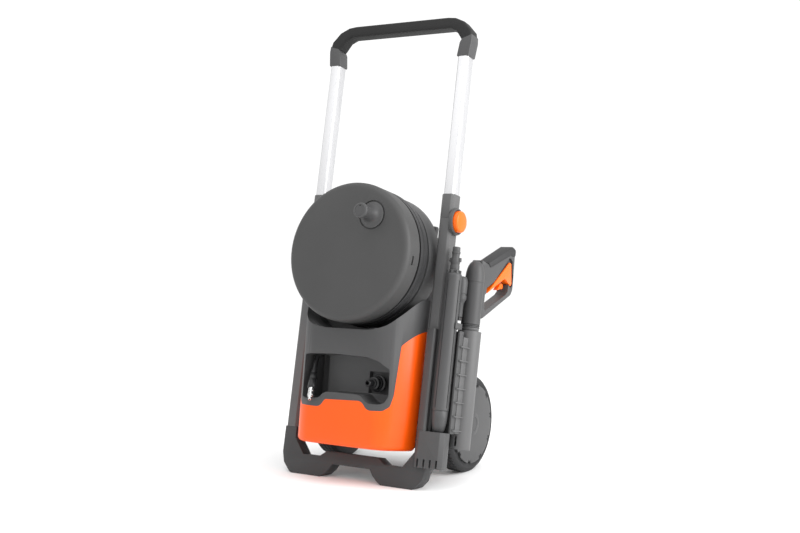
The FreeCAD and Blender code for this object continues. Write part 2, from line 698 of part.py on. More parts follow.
def make_trigger():
    """A saddle-shaped lever under the grip, and the catch below its free end."""
    side = prism("trigger_solid", "YZ_Plane", [TRIGGER_SIDE], 26.0, -13.0)
    room = prism("trigger_saddle", "YZ_Plane",
                 [[(85.2, 409), (171.8, 452), (222, 452), (222, 500), (171.8, 500), (85.2, 430)]],
                 17.0, -8.5)
    loop_place = (size("gun_x"), size("gun_loop_shift"), 0)
    keep(cut("trigger", side, room), "trigger", LEAN, loop_place)
    nose = prism("catch_nose", "YZ_Plane", [[(152.5, 419), (168.9, 425), (170.8, 435), (164.1, 434)]],
                 10.0, -5.0)
    barrel = rod("catch_barrel", 6.0, 10.0, (-5.0,) + CATCH_PIVOT, SIDEWAYS[1])
    keep(fuse("trigger_catch", [nose, barrel]), "trigger_catch", LEAN, loop_place)


# ---------------------------------------------------------------- water, power and cord parts

def make_inlet():
    """Quick connector in the tray's back wall, its collar, and the pipe to the pump."""
    place = (size("inlet_x"), -size("cover_front") + size("tray_depth"), size("inlet_height"))
    radius = size("inlet_radius")
    collar = turned("inlet_collar", [(9.1, -3), (13.9, -3), (13.9, 0), (18, 0), (18, 3),
                                     (14, 4), (14, 10), (9.1, 10)])
    keep(collar, "inlet_collar", COVER, place, FORWARD)
    spigot = turned("inlet_connector", [(0, -12), (9, -12), (9, 10.5), (13, 11), (13, 19),
                                        (9, 20), (9, 24), (radius, 25), (radius, 40),
                                        (radius - 1.5, 42), (4, 42), (4, 12), (0, 12)])
    keep(spigot, "inlet_connector", COVER, place, FORWARD)


def make_machinery():
    """Motor over pump on the deck, with fan, manifold, pipes and switch gear."""
    deck_top = size("deck_bottom") + size("deck_thickness")
    bottom, length = size("motor_bottom"), size("motor_length")
    centre = (0, size("motor_y"), 0)
    pump = turned("pump_head", [(0, deck_top + 8), (38, deck_top + 8), (38, 130), (45, 134),
                                (45, 160), (40, 164), (40, bottom), (0, bottom)])
    keep(pump, "pump_head", LEVEL, centre)
    keep(rod("motor", "motor_radius", "motor_length"), "motor", LEVEL, (0, centre[1], bottom))
    blades = [box("fan_blade_%d" % index, (10, -1.2, 0), (33, 2.4, 14)) for index in range(8)]
    for index, blade in enumerate(blades):
        turn = FreeCAD.Placement(FreeCAD.Vector(0, 0, 0), FreeCAD.Rotation(Z_AXIS, 45.0 * index))
        blade.Placement = turn.multiply(blade.Placement)
    fan = fuse("motor_fan", [rod("fan_hub", 14, 14)] + blades)
    keep(fan, "motor_fan", LEVEL, (0, centre[1], bottom + length + 1))
    manifold = box("pump_manifold", (0, 0, 0), (28, 36, 82))
    keep(manifold, "pump_manifold", LEVEL, (48.5, 66, 126))
    valve = turned("unloader_valve", [(0, 0), (13, 0), (13, 26), (9, 28), (9, 40), (0, 40)])
    keep(valve, "unloader_valve", LEVEL, (61, 66, 150), FORWARD)
    keep(box("switch_box", (0, 0, 0), (76, 40, 52)), "switch_box", LEVEL, (-90, 116, 352))
    knob = turned("power_knob", [(0, -8), (8, -8), (8, 0.5), (22, 0.5), (22, 8), (20, 10),
                                 (0, 10)])
    bar = box("knob_bar", (-4, -21, 9), (8, 42, 8))
    keep(fuse("power_switch", [knob, bar]), "power_switch", LEVEL, (0, 168, 245), BACKWARD)
    gland = turned("cable_gland", [(4, -12), (9, -12), (9, 0), (14, 0), (14, 6), (9, 12),
                                   (8, 30), (4, 30)])
    keep(gland, "cable_gland", LEVEL, (-70, 168, 130), BACKWARD)


def pipe_node(label, points, radius, bend):
    shape, radii, length = pipe_shape(points, radius, bend)
    thing = doc.addObject("Part::Feature", label)
    thing.Shape = shape
    keep(thing, label, LEVEL)
    print(label, "radii", [round(r, 1) for r in radii], "length", round(length, 1))


def make_pipes():
    """Steel pipe from the manifold to the reel's swivel, and the inlet pipe."""
    centre = LEVEL.inverse().multiply(LEAN).multVec(
        FreeCAD.Vector(0, 38, size("reel_height")))
    pipe_node("outlet_pipe", [(61, 84, 208.8), (61, centre.y, 408), (61, centre.y, centre.z),
                              (16, centre.y, centre.z)], 4.0, 12.0)
    inlet = LEVEL.inverse().multiply(COVER).multVec(FreeCAD.Vector(
        size("inlet_x"), -size("cover_front") + size("tray_depth") + 12.8, size("inlet_height")))
    pipe_node("inlet_pipe", [(inlet.x, inlet.y, inlet.z), (inlet.x, inlet.y + 24, inlet.z - 1),
                             (inlet.x + 2, 63.5, 190)], 7.0, 20.0)


HOSE_ROUTE = [(-86, -38, 244.5), (-85, -45, 225), (-79, -57, 201), (-71, -72, 178)]


def make_hose_tail():
    """The free end of the high-pressure hose, hanging out of the tray's ceiling."""
    shape, radii, length = pipe_shape(HOSE_ROUTE, size("hose_radius"))
    tail = doc.addObject("Part::Feature", "hose_tail")
    tail.Shape = shape
    keep(tail, "hose_tail", COVER)
    print("hose_tail radii", [round(r, 1) for r in radii], "length", round(length, 1))
    end = FreeCAD.Vector(*HOSE_ROUTE[-1])
    along = end - FreeCAD.Vector(*HOSE_ROUTE[-2])
    connector = turned("hose_connector", [(0, 0), (6, 0), (6, 8), (5, 9), (5, 20), (3.6, 21),
                                          (3.6, 27), (0, 27)])
    keep(connector, "hose_connector", COVER, tuple(end), FreeCAD.Rotation(Z_AXIS, along))


def make_screws():
    """The screws of the back casing, as one group."""
    spots = [(across, up) for up in (130, 270, 410) for across in (-105, 105)]
    heads = [rod("casing_screw_%d" % index, "screw_radius", 4, (across, 168, up), BACKWARD)
             for index, (across, up) in enumerate(spots)]
    keep(fuse("casing_screws", heads), "casing_screws", LEVEL)


make_foot_frame()
make_deck()
make_axle()
for side_name, side_sign in SIDES.items():
    make_post(side_name, side_sign)
    make_lock(side_name, side_sign)
    make_wheel(side_name, side_sign)
make_handle()
make_front_shell()
make_front_cover()
make_rear_cover()
make_reel_bracket()
make_spindle()
make_swivel()
make_reel()
make_crank()
make_lance_holder()
make_tool_clip()
make_lance()
make_spray_nozzle()
make_holster()
make_gun()
make_trigger()
make_inlet()
make_machinery()
make_pipes()
make_hose_tail()
make_screws()

doc.recompute()
for thing in doc.Objects:
    if "Invalid" in thing.State or "Error" in thing.State:
        raise RuntimeError("%s failed: %s" % (thing.Label, thing.State))
for node in nodes:
    if node.Shape.isNull() or not node.Shape.isValid():
        raise RuntimeError("%s has no valid shape" % node.Label)

os.makedirs("parts", exist_ok=True)
for node in nodes:
    node.Shape.exportStep("parts/%s.step" % node.Label)
    print("%-20s %8.1f cm3, %d solid(s)" % (node.Label, node.Shape.Volume / 1000,
                                            len(node.Shape.Solids)))
print(len(nodes), "nodes")
whole = Part.makeCompound([node.Shape for node in nodes]).BoundBox
print("box", [round(v, 1) for v in (whole.XMin, whole.XMax, whole.YMin, whole.YMax,
                                    whole.ZMin, whole.ZMax)])
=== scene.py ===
import bpy
import json
import math
from mathutils import Matrix, Vector


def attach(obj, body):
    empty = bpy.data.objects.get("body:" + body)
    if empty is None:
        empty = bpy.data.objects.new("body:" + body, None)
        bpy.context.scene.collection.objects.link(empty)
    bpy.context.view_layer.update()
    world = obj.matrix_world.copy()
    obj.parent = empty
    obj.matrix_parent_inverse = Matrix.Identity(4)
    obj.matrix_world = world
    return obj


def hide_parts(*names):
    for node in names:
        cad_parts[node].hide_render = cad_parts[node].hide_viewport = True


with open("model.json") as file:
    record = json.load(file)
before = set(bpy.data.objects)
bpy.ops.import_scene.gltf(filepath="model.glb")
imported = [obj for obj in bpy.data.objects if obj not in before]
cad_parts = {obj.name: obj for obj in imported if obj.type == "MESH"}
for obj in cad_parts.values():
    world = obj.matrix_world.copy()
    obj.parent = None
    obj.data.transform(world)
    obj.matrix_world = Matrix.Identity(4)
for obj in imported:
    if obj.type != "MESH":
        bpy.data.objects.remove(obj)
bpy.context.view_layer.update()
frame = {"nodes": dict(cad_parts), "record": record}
scene = bpy.context.scene
ops = bpy.ops

# The design's own frames, as the CAD states them, with lengths in millimetres.
SHIFT = Vector((-18.8, -124.7, 0))
TO_METRES = Matrix.Scale(0.001, 4)
LEVEL = TO_METRES @ Matrix.Translation(SHIFT)
LEAN = LEVEL @ Matrix.Translation((0, 4.2, 0)) @ Matrix.Rotation(-math.radians(12), 4, "X")
COVER = LEVEL @ Matrix.Translation((0, 4, 0)) @ Matrix.Rotation(-math.radians(8), 4, "X")
FORWARD = Matrix.Rotation(math.radians(90), 4, "X")
SIDEWAYS = {-1: Matrix.Rotation(-math.radians(90), 4, "Y"),
            1: Matrix.Rotation(math.radians(90), 4, "Y")}
SIDES = {"left": -1, "right": 1}

REEL_CENTRE = 451.2
REEL_RADIUS = 142.0
REEL_FRONT, REEL_SPLIT, REEL_BACK = 121.0, 70.0, 38.0
CRANK_X, CRANK_UP = 51.0, 524.2
LANCE_X, LANCE_Y = 190.5, -14.0
GUN_X, GUN_Y = 204.5, 50.0
GUN_LOOP_SHIFT = -6.0
POST_PITCH, TUBE_TOP, GRIP_DEPTH = 158.4, 881.0, 31.0
AXLE_Y, WHEEL_RADIUS, WHEEL_INNER = 193.0, 100.0, 129.0
HUB_CAP_OUT = 42.0
LOCK_X, LOCK_UP = 172.9, 535.0
LANCE_FOOT, LANCE_NECK = 113.5, 427.0
SPARE_NOZZLE_PLACE = (192.0, 18.0, 344.4)


# ------------------------------------------------------------------ camera

def make_camera():
    """The view from the front right, a little above the machine's middle."""
    data = bpy.data.cameras.new("camera")
    data.lens = 50.82
    data.sensor_width = 36.0
    camera = bpy.data.objects.new("camera", data)
    scene.collection.objects.link(camera)
    camera.location = LEVEL @ Vector((1253.8, -1898.2, 540.6))
    camera.rotation_euler = (math.radians(90 - 2.691), 0, math.radians(31.014))
    scene.camera = camera


make_camera()


# ------------------------------------------------------------------ hose in the tray

HOSE_ROUTE = [(-86, -38, 244.5), (-85, -45, 225), (-79, -57, 201), (-71, -72, 178)]


def make_hose():
    """The free end of the pressure hose, from the tray's ceiling to its connector."""
    curve = bpy.data.curves.new("hose_tail_rubber", "CURVE")
    curve.dimensions = "3D"
    curve.bevel_depth = 0.005
    curve.bevel_resolution = 6
    spline = curve.splines.new("NURBS")
    spline.points.add(len(HOSE_ROUTE) - 1)
    for point, spot in zip(spline.points, HOSE_ROUTE):
        point.co = (*(COVER @ Vector(spot)), 1)
    spline.order_u = 3
    spline.use_endpoint_u = True
    spline.resolution_u = 16
    hose = bpy.data.objects.new("hose_tail_rubber", curve)
    scene.collection.objects.link(hose)
    return hose


hose = make_hose()


# ------------------------------------------------------------------ materials

def node_tree(name):
    """A material with its shader and the object's own coordinates."""
    material = bpy.data.materials.new(name)
    material.use_nodes = True
    tree = material.node_tree
    shader = tree.nodes["Principled BSDF"]
    place = tree.nodes.new("ShaderNodeTexCoord").outputs["Object"]
    return material, tree, shader, place


def noise(tree, place, scale, detail=3.0, roughness=0.55):
    """A noise value over the given coordinates."""
    texture = tree.nodes.new("ShaderNodeTexNoise")
    texture.inputs["Scale"].default_value = scale
    texture.inputs["Detail"].default_value = detail
    texture.inputs["Roughness"].default_value = roughness
    tree.links.new(place, texture.inputs["Vector"])
    return texture.outputs["Fac"]


def spread(tree, value, low, high):
    """Map the middle of a noise onto low to high."""
    reach = tree.nodes.new("ShaderNodeMapRange")
    reach.inputs["From Min"].default_value = 0.3
    reach.inputs["From Max"].default_value = 0.7
    reach.inputs["To Min"].default_value = low
    reach.inputs["To Max"].default_value = high
    tree.links.new(value, reach.inputs["Value"])
    return reach.outputs["Result"]


def tint(tree, value, dark, light):
    """A colour between two, by the middle of a noise."""
    ramp = tree.nodes.new("ShaderNodeValToRGB")
    ramp.color_ramp.elements[0].position = 0.3
    ramp.color_ramp.elements[0].color = (*dark, 1)
    ramp.color_ramp.elements[1].position = 0.7
    ramp.color_ramp.elements[1].color = (*light, 1)
    tree.links.new(value, ramp.inputs["Fac"])
    return ramp.outputs["Color"]


def painted_edge_highlight(tree, colour, highlight_colour, amount):
    """Lighten a colour where the surface turns sharply outward: a painted highlight along sharp
    edges.
    """
    geometry = tree.nodes.new("ShaderNodeNewGeometry")
    edge = tree.nodes.new("ShaderNodeMapRange")
    edge.inputs["From Min"].default_value = 0.52
    edge.inputs["From Max"].default_value = 0.62
    edge.inputs["To Max"].default_value = amount
    tree.links.new(geometry.outputs["Pointiness"], edge.inputs["Value"])
    mix = tree.nodes.new("ShaderNodeMix")
    mix.data_type = "RGBA"
    mix.inputs["B"].default_value = (*highlight_colour, 1)
    tree.links.new(edge.outputs["Result"], mix.inputs["Factor"])
    tree.links.new(colour, mix.inputs["A"])
    return mix.outputs["Result"]


def raise_bump(tree, shader, height, distance, strength=1.0):
    """Feed a height to the shader as a bump of the given depth in metres."""
    bump = tree.nodes.new("ShaderNodeBump")
    bump.inputs["Distance"].default_value = distance
    bump.inputs["Strength"].default_value = strength
    tree.links.new(height, bump.inputs["Height"])
    tree.links.new(bump.outputs["Normal"], shader.inputs["Normal"])


def moulded(name, dark, light, rough, grain=1400, depth=0.00006):
    """Moulded plastic: fine spark-eroded grain, slow flow shading and paler edges painted in as a
    highlight.
    """
    material, tree, shader, place = node_tree(name)
    shader.inputs["Specular IOR Level"].default_value = 0.4
    colour = tint(tree, noise(tree, place, 9, 2), dark, light)
    # Paler colour on sharp outward edges, painted in as a highlight.
    highlight_colour = tuple(min(1, 1.5 * part + 0.01) for part in light)
    colour = painted_edge_highlight(tree, colour, highlight_colour, 0.5)
    tree.links.new(colour, shader.inputs["Base Color"])
    fine = noise(tree, place, grain, 2)
    tree.links.new(spread(tree, fine, rough[0], rough[1]), shader.inputs["Roughness"])
    raise_bump(tree, shader, fine, depth, 0.7)
    return material


def glossy(name, dark, light, rough):
    """Smooth coloured plastic with a hint of orange peel under a clear gloss."""
    material, tree, shader, place = node_tree(name)
    shader.inputs["Specular IOR Level"].default_value = 0.3
    shader.inputs["Coat Weight"].default_value = 0.08
    shader.inputs["Coat Roughness"].default_value = 0.2
    colour = tint(tree, noise(tree, place, 6, 2), dark, light)
    tree.links.new(colour, shader.inputs["Base Color"])
    peel = noise(tree, place, 260, 2)
    tree.links.new(spread(tree, peel, rough[0], rough[1]), shader.inputs["Roughness"])
    raise_bump(tree, shader, peel, 0.00001, 0.3)
    return material


def metal(name, dark, light, rough, stretch):
    """Drawn or turned metal: fine lines along one axis."""
    material, tree, shader, place = node_tree(name)
    shader.inputs["Metallic"].default_value = 1.0
    mapping = tree.nodes.new("ShaderNodeMapping")
    mapping.inputs["Scale"].default_value = stretch
    tree.links.new(place, mapping.inputs["Vector"])
    lines = noise(tree, mapping.outputs["Vector"], 1.0, 4)
    tree.links.new(tint(tree, lines, dark, light), shader.inputs["Base Color"])
    tree.links.new(spread(tree, lines, rough[0], rough[1]), shader.inputs["Roughness"])
    raise_bump(tree, shader, lines, 0.00002, 0.4)
    return material


GREY = moulded("grey_moulding", (0.05, 0.05, 0.051), (0.057, 0.057, 0.058), (0.42, 0.56))
FACE_GREY = moulded("reel_face_grey", (0.046, 0.046, 0.046), (0.051, 0.051, 0.051), (0.5, 0.62))
FRAME_GREY = moulded("frame_grey_moulding", (0.033, 0.033, 0.034), (0.039, 0.039, 0.04),
                     (0.42, 0.56))
GRIP_BLACK = moulded("handle_grip_black", (0.005, 0.005, 0.005), (0.008, 0.008, 0.008),
                     (0.6, 0.72), 900, 0.00008)
DRUM_GREY = moulded("reel_drum_grey", (0.021, 0.021, 0.022), (0.026, 0.026, 0.027), (0.45, 0.58))
LIGHT_GREY = moulded("light_grey_moulding", (0.085, 0.085, 0.086), (0.095, 0.095, 0.096),
                     (0.42, 0.55))
BLACK = moulded("black_moulding", (0.006, 0.006, 0.007), (0.011, 0.011, 0.012), (0.3, 0.45))
SOFT = moulded("soft_grip_rubber", (0.013, 0.013, 0.014), (0.018, 0.018, 0.019), (0.5, 0.65),
               900, 0.00009)
ORANGE = glossy("orange_gloss", (0.85, 0.088, 0.001), (0.87, 0.094, 0.001), (0.3, 0.34))
BRIGHT_ORANGE = glossy("orange_button_gloss", (0.86, 0.128, 0.002), (0.88, 0.138, 0.003),
                       (0.32, 0.36))
ALUMINIUM = metal("drawn_aluminium", (0.6, 0.6, 0.61), (0.66, 0.66, 0.67), (0.42, 0.52),
                  (900, 900, 6))
STEEL = metal("turned_steel", (0.42, 0.42, 0.43), (0.55, 0.55, 0.56), (0.25, 0.4),
              (40, 900, 900))
CHROME = metal("plated_fitting", (0.55, 0.55, 0.55), (0.68, 0.68, 0.68), (0.14, 0.24),
               (300, 300, 300))
CAST = moulded("cast_metal", (0.3, 0.3, 0.31), (0.4, 0.4, 0.41), (0.5, 0.65), 500, 0.0002)
TYRE = moulded("tyre_rubber", (0.013, 0.013, 0.014), (0.019, 0.019, 0.02), (0.6, 0.75), 700,
               0.00012)
FINISH = {
    "dark_grey_plastic": GREY, "orange_plastic": ORANGE, "black_plastic": BLACK,
    "soft_grip": SOFT, "aluminium_tube": ALUMINIUM, "steel": STEEL, "tyre_rubber": TYRE,
    "bright_metal": CHROME, "cast_aluminium": CAST, "hose_rubber": BLACK,
}
SLOT_OF = {part["node"]: part["material_slot"] for part in frame["record"]["subparts"]}


def finish_with(piece, material):
    """Give a piece one material."""
    piece.data.materials.clear()
    piece.data.materials.append(material)


for node_name, node_object in frame["nodes"].items():
    finish_with(node_object, FINISH[SLOT_OF[node_name]])


# ------------------------------------------------------------------ working by hand

def only(piece):
    """Select one object and make it the active one."""
    ops.object.select_all(action="DESELECT")
    piece.select_set(True)
    bpy.context.view_layer.objects.active = piece


def edit(piece):
    only(piece)
    ops.object.mode_set(mode="EDIT")


def done():
    ops.object.mode_set(mode="OBJECT")


def drawn_line(name, points):
    """A new object in edit mode, whose line runs through the points from vertex to vertex."""
    ops.object.select_all(action="DESELECT")
    ops.mesh.primitive_plane_add(size=1, location=(0, 0, 0))
    piece = bpy.context.object
    piece.name = name
    ops.object.mode_set(mode="EDIT")
    ops.mesh.merge(type="CENTER")
    ops.transform.translate(value=points[0])
    for before, after in zip(points, points[1:]):
        step = Vector(after) - Vector(before)
        ops.mesh.extrude_vertices_move(TRANSFORM_OT_translate={"value": step})
    return piece


def outward(piece):
    """Close a piece's seams and turn its faces outward."""
    edit(piece)
    ops.mesh.select_all(action="SELECT")
    ops.mesh.remove_doubles(threshold=0.01)
    ops.mesh.normals_make_consistent(inside=False)
    done()


def slab(name, plane, outline, low, high):
    """A closed outline in the XY, XZ or YZ plane, extruded from low to high."""
    spot = {"XY": lambda a, b, c: (a, b, c), "XZ": lambda a, b, c: (a, c, b),
            "YZ": lambda a, b, c: (c, a, b)}[plane]
    piece = drawn_line(name, [spot(a, b, low) for a, b in outline])
    ops.mesh.select_all(action="SELECT")
    ops.mesh.edge_face_add()
    ops.mesh.extrude_region_move(TRANSFORM_OT_translate={"value": spot(0, 0, high - low)})
    done()
    outward(piece)
    return piece


def turned(name, profile, steps=64):
    """A line of (radius, height) points spun about Z and closed at its axis."""
    piece = drawn_line(name, [(radius, 0, height) for radius, height in profile])
    ops.mesh.select_all(action="SELECT")
    ops.mesh.spin(steps=steps, angle=math.radians(360), center=(0, 0, 0), axis=(0, 0, 1))
    done()
    outward(piece)
    return piece


def put(piece, place):
    """Move a piece by a matrix and apply the move to its mesh."""
    piece.matrix_world = place @ piece.matrix_world
    only(piece)
    ops.object.transform_apply(location=True, rotation=True, scale=True)
    return piece


def bore(piece, tool, operation="DIFFERENCE"):
    """Combine with a tool by a boolean modifier, which is applied, and drop the tool."""
    only(piece)
    cut = piece.modifiers.new("cut", "BOOLEAN")
    cut.operation = operation
    cut.object = tool
    cut.solver = "EXACT"
    ops.object.modifier_apply(modifier="cut")
    bpy.data.objects.remove(tool, do_unlink=True)
    return piece


def round_edges(piece, width, segments=3, angle=30):
    """Round every edge that is sharper than the angle, by a bevel modifier that is applied."""
    only(piece)
    bevel = piece.modifiers.new("bevel", "BEVEL")
    bevel.width = width
    bevel.segments = segments
    bevel.limit_method = "ANGLE"
    bevel.angle_limit = math.radians(angle)
    ops.object.modifier_apply(modifier="bevel")


def round_chosen(piece, width, segments, chosen):
    """Round the edges whose two ends satisfy a rule."""
    edit(piece)
    ops.mesh.select_mode(type="EDGE")
    ops.mesh.select_all(action="DESELECT")
    done()
    mesh = piece.data
    for edge in mesh.edges:
        first, second = (mesh.vertices[index].co for index in edge.vertices)
        edge.select = chosen(first, second)
    edit(piece)
    ops.mesh.bevel(offset=width, segments=segments, affect="EDGES")
    ops.mesh.select_mode(type="VERT")
    done()


def smooth(piece, angle=35):
    """Shade smooth wherever the surface turns by less than the angle."""
    only(piece)
    ops.object.shade_smooth_by_angle(angle=math.radians(angle))


def deliver(piece, place, body, material, slot_name, *nodes):
    """Set a finished piece in its place, with its finish, body and CAD nodes."""
    put(piece, place)
    smooth(piece)
    finish_with(piece, material)
    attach(piece, body)
    if nodes:
        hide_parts(*nodes)
    return piece


BODY_OF = {node: body for body, nodes in frame["record"]["behaviour"]["bodies"].items()
           for node in nodes}


def softened(node, width, segments=2, angle=32, material=None):
    """A CAD node's own shape, merged, with its edges rounded as a moulding's are."""
    piece = bpy.data.objects.new(node + "_moulding", frame["nodes"][node].data.copy())
    scene.collection.objects.link(piece)
    edit(piece)
    ops.mesh.select_all(action="SELECT")
    ops.mesh.remove_doubles(threshold=0.00002)
    ops.mesh.dissolve_limited(angle_limit=math.radians(0.5))
    done()
    round_edges(piece, width, segments, angle)
    slot_name = SLOT_OF[node]
    return deliver(piece, Matrix.Identity(4), BODY_OF[node], material or FINISH[slot_name],
                   slot_name, node)


def mirrored(points):
    """The outline of a right half, closed by its mirror image."""
    return points + [(-x, y) for x, y in reversed(points)]


# ------------------------------------------------------------------ covers and tray

GREY_REGION = [(-170, 420), (-170, 312), (-139, 310), (-116, 277), (-110, 178), (-106, 154),
               (-97, 145), (-54, 144), (-46, 147), (-36, 160), (45, 163), (53, 160), (62, 149),
               (70, 146), (96, 147), (107, 156), (111, 178), (116, 277), (139, 310),
               (170, 312), (170, 420)]
CRADLE = [(55, 297.8), (84, 304), (100, 314), (113, 331), (129, 357.5), (138, 376),
          (160, 412), (160, 560)]
TRAY_MOUTH = [(-97, 236), (-94, 244), (-86, 249), (-20, 252), (58, 250), (82, 244), (103, 229),
              (104, 176), (98, 163), (88, 159), (66, 159), (58, 163), (48, 172), (40, 175),
              (-34, 175), (-44, 170), (-51, 162), (-88, 158), (-95, 166)]
APRON = [(55, 295.5), (84, 301.5), (99, 311), (112, 328), (118, 336), (110, 354), (84, 332),
         (60, 320), (40, 312.5), (20, 309)]
HOSE_POCKET = [(-97, 160), (-63, 160), (-63, 248), (-97, 248)]
INLET_NICHE = [(36, 178), (82, 178), (86, 184), (86, 216), (80, 222), (36, 222)]
LEAN_IN_COVER = COVER.inverted() @ LEAN


def cover_body(name):
    """Both covers as one body: swept front corners, rounded foot and the reel's cradle."""
    body = slab(name, "XY", mirrored([(97, -73), (138, -6), (138, 46)]), 70, 372)
    round_chosen(body, 26, 8, lambda a, b: abs(a.z - b.z) > 200 and a.y < 0)
    round_chosen(body, 10, 5, lambda a, b: max(a.z, b.z) < 71 and min(a.y, b.y) < 40)
    cradle = slab("cradle", "XZ", mirrored(CRADLE), -150, 90)
    round_chosen(cradle, 9, 4, lambda a, b: abs(a.y - b.y) > 200)
    bore(body, put(cradle, LEAN_IN_COVER))
    behind = slab("behind", "XY", [(-200, -3), (200, -3), (200, 150), (-200, 150)],
                  -50, 500)
    return bore(body, put(behind, LEAN_IN_COVER))


def grey_zone():
    """The outline, as a tool, that divides the grey cover from the orange one."""
    zone = slab("zone", "XZ", GREY_REGION, -120, 80)
    round_chosen(zone, 3, 3, lambda a, b: abs(a.y - b.y) > 150)
    return zone


def make_covers():
    """The grey cover with its tray, hose pocket and inlet niche, and the orange one below."""
    upper = bore(cover_body("front_cover_shell"), grey_zone(), "INTERSECT")
    mouth = slab("mouth", "XZ", TRAY_MOUTH, -85, -25)
    round_chosen(mouth, 3.5, 3, lambda a, b: abs(a.y - b.y) > 50)
    round_chosen(mouth, 5, 4, lambda a, b: min(a.y, b.y) > -26)
    bore(upper, mouth)
    pocket = slab("pocket", "XZ", HOSE_POCKET, -71, 5)
    round_chosen(pocket, 4, 3, lambda a, b: abs(a.y - b.y) > 50)
    bore(upper, pocket)
    niche = slab("niche", "XZ", INLET_NICHE, -27, -13)
    bore(upper, niche)
    round_edges(upper, 1.8, 3, 40)
    apron = slab("apron", "XZ", mirrored(APRON), -6, -3.02)
    bore(upper, put(apron, LEAN_IN_COVER), "UNION")
    deliver(upper, COVER, "chassis", GREY, "dark_grey_plastic", "front_cover")
    lower = bore(cover_body("front_shell_painted"), grey_zone())
    round_edges(lower, 1.5, 3, 40)
    deliver(lower, COVER, "chassis", ORANGE, "orange_plastic", "front_shell")


# ------------------------------------------------------------------ hose reel

REEL_PLACE = LEAN @ Matrix.Translation((0, -REEL_BACK, REEL_CENTRE)) @ FORWARD


def ring_profile(points):
    """Close a section that doesn't reach the axis."""
    return points + points[:1]


def make_reel_cap():
    """The reel's domed face, with a groove round the crank and a slot in its rim."""
    front, split, radius = REEL_FRONT - REEL_BACK, REEL_SPLIT - REEL_BACK, REEL_RADIUS
    fillet = [(radius - 13 + 13 * math.sin(math.radians(turn)),
               front - 13 + 13 * math.cos(math.radians(turn))) for turn in range(0, 91, 15)]
    profile = ([(0, front)] + fillet +
               [(radius, split + 5), (radius - 1, split + 4), (radius - 5, split + 4),
                (radius - 5, split + 1), (radius - 8, split + 1), (radius - 8, front - 14),
                (radius - 14, front - 3), (0, front - 3)])
    cap = turned("reel_cap_face", profile, 96)
    crank = (CRANK_X, CRANK_UP - REEL_CENTRE)
    groove = turned("groove", ring_profile([(26.8, -2.5), (29.6, -2.5), (29.6, 2), (26.8, 2)]))
    bore(cap, put(groove, Matrix.Translation((*crank, front))))
    slot = slab("slot", "XY", [(136, -22), (146, -22), (146, -4), (136, -4)],
                front - 26, front - 21)
    bore(cap, slot)
    deliver(cap, REEL_PLACE, "reel", FACE_GREY, "dark_grey_plastic", "reel_cap")


def make_reel_drum():
    """The open drum behind the cap, with a grooved flange and a hub."""
    split = REEL_SPLIT - REEL_BACK
    drum = turned("reel_drum_rim", ring_profile(
        [(10.05, 0), (135, 0), (139, 1), (141.4, 3.4), (142, 7), (142, 17), (140.6, 18),
         (140.6, 20), (142, 21), (142, split - 3.5), (141, split - 2.5),
         (137, split - 2.5), (137, split - 1), (134, split - 1), (134, 3), (62, 3),
         (62, split + 8), (10.05, split + 8)]), 96)
    deliver(drum, REEL_PLACE, "reel", DRUM_GREY, "dark_grey_plastic", "reel_drum")


def make_wound_hose():
    """The wound layers of hose, as turns that lie side by side round the hub."""
    section = [(63, 5), (122, 5)]
    for turn in range(3):
        middle = 10 + 10 * turn
        section += [(125 + 5 * math.cos(math.radians(angle)),
                     middle + 5 * math.sin(math.radians(angle)))
                    for angle in range(-80, 81, 32)]
    section += [(122, 37), (63, 37)]
    deliver(turned("wound_hose_turns", ring_profile(section), 72), REEL_PLACE, "reel", BLACK,
            "hose_rubber", "wound_hose")


def make_crank():
    """The knob on a flared foot, with a dimple in its end."""
    knob = turned("crank_knob_grip", [
        (0, 0), (26.4, 0), (26.4, 1.8), (25.6, 2.8), (22, 4), (18.5, 6.5), (16, 10),
        (14.2, 14), (13.2, 19), (12.8, 26), (13.2, 33), (14.4, 38), (15.5, 42), (15.5, 45),
        (14.9, 46.8), (13.4, 47.8), (11.4, 48), (11, 47.4), (0, 47.4)], 64)
    dimple = turned("dimple", [(0, 45), (1.4, 45), (1.4, 50), (0, 50)], 24)
    bore(knob, put(dimple, Matrix.Translation((0, 9, 0))))
    place = LEAN @ Matrix.Translation((CRANK_X, -(REEL_FRONT - 1.5), CRANK_UP)) @ FORWARD
    deliver(knob, place, "crank", GREY, "dark_grey_plastic", "crank_knob")


# ------------------------------------------------------------------ grip, locks and wheels

def make_grip_bar():
    """The bowed bar across the two legs, with faceted shoulders and soft edges."""
    outline = mirrored([(122, 944), (137, 937), (POST_PITCH - 6, TUBE_TOP + 34),
                        (POST_PITCH + 17, TUBE_TOP + 40), (POST_PITCH + 13.5, TUBE_TOP + 55),
                        (POST_PITCH - 5, TUBE_TOP + 75), (POST_PITCH - 26, TUBE_TOP + 84.5),
                        (POST_PITCH - 44, TUBE_TOP + 86.5)])
    bar = slab("grip_bar_cover", "XZ", outline, -GRIP_DEPTH / 2, GRIP_DEPTH / 2)
    round_edges(bar, 4.5, 4, 60)
    deliver(bar, LEAN, "handle", GRIP_BLACK, SLOT_OF["grip_bar"], "grip_bar")



def make_lock(side, sign):
    """A collar on the post and the domed button in it."""
    place = LEAN @ Matrix.Translation((sign * LOCK_X, 0, LOCK_UP)) @ SIDEWAYS[sign]
    ring = turned(side + "_lock_collar", ring_profile(
        [(22.9, 0), (27.5, 0), (27.5, 4), (26.8, 6.2), (25.4, 7.5), (23.8, 7.3), (22.9, 6)]))
    deliver(ring, place, "chassis", GREY, "dark_grey_plastic", side + "_lock_ring")
    button = turned(side + "_lock_dome", [
        (0, 4.5), (21.6, 4.5), (22, 12.6), (21.4, 14.8), (19.6, 16.4), (16, 17.2), (9, 17.8),
        (0, 18)])
    deliver(button, place, side + "_lock", BRIGHT_ORANGE, "orange_plastic",
            side + "_lock_button")


